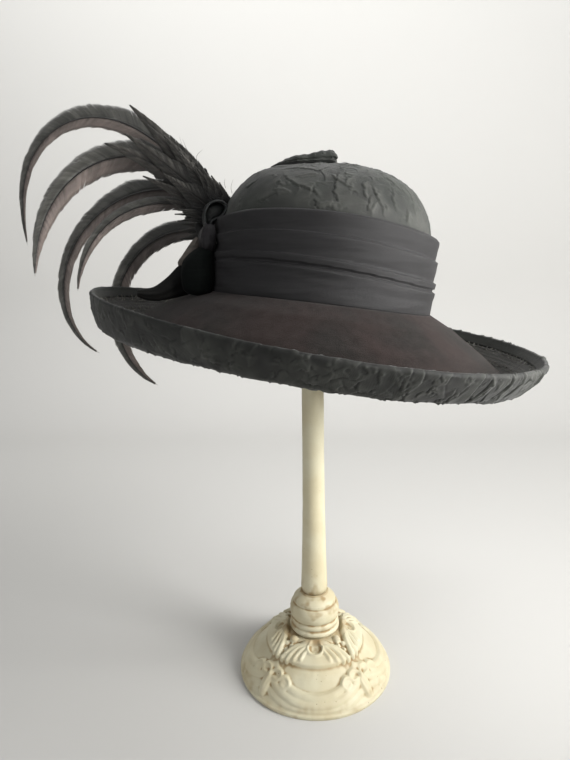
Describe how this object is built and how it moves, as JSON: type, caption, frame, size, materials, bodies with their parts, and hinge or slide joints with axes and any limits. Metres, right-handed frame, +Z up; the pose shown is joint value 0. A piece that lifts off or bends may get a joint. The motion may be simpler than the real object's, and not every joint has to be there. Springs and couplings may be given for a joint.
{
  "type": "feathered hat on a hat stand",
  "caption": "Wide-brimmed lady's hat with a turned-up rim, a pleated band, a bow and long curled feathers, resting on a turned hat stand with a round cast foot.",
  "frame": {"origin": "middle of the underside of the stand's round foot", "axes": "+Z up along the stand's stem, +X towards the hat's front, +Y to the wearer's left, so the plume is at the back, on -X"},
  "size_m": [0.4768, 0.3564, 0.5448],
  "materials": {
    "embossed_fabric": "dark grey-green cloque with raised meandering leaves",
    "band_satin": "charcoal satin in long folds",
    "brown_felt": "brown-grey felt with a burgundy cast",
    "woven_braid": "dark woven braid with looped edges",
    "bow_satin": "black-green satin and velvet",
    "feather": "black-olive coque feathers with a burgundy-brown lower vane",
    "cream_paint": "antique cream paint with brown patina in the hollows"
  },
  "bodies": {
    "root": {"crown": "embossed_fabric", "crown_tab": "embossed_fabric", "hatband": "band_satin", "brim_felt": "brown_felt", "brim_cover": "embossed_fabric", "rim_braid": "woven_braid", "bow_upper_loop": "bow_satin", "bow_knot": "bow_satin", "bow_lower_loop": "bow_satin", "bow_tail": "bow_satin", "hackle_tuft": "feather", "tail_feather_1": "feather", "tail_feather_2": "feather", "tail_feather_3": "feather", "tail_feather_4": "feather", "tail_feather_5": "feather", "stand_foot": "cream_paint", "stand_collar": "cream_paint", "stand_stem": "cream_paint", "stand_top": "cream_paint"}
  },
  "joints": []
}
